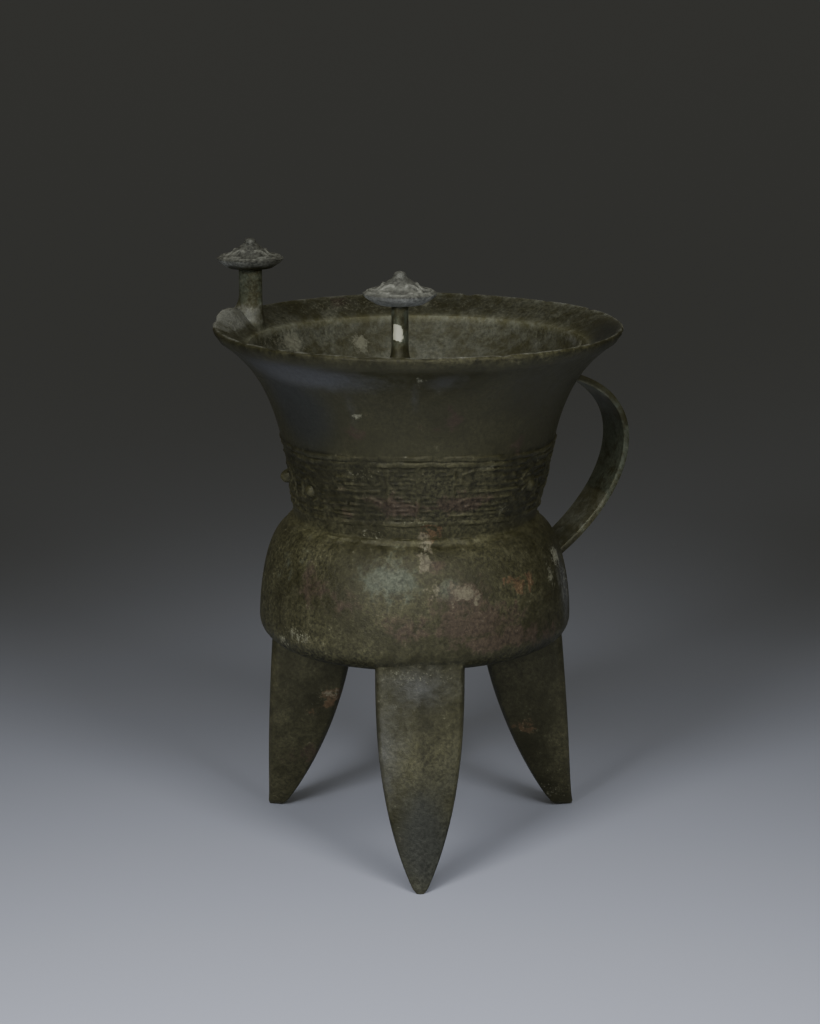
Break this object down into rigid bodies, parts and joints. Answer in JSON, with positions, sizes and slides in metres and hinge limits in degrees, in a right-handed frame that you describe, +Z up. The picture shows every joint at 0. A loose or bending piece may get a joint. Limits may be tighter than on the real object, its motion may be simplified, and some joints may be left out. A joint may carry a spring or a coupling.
{
  "type": "bronze jia wine vessel",
  "caption": "Ancient cast-bronze jia: a flared, waisted wine vessel on splayed spike legs, with a strap handle, capped posts on its rim and a raised mask band.",
  "frame": {"origin": "middle of the part's box, on the ground under the feet", "axes": "+Z up, -Y towards the front leg, +X to the handle's side"},
  "size_m": [0.1664, 0.1656, 0.241],
  "materials": {
    "bronze": "worn, dark olive-brown patina with earth crust"
  },
  "bodies": {
    "root": {"jia_vessel": "bronze"}
  },
  "joints": []
}
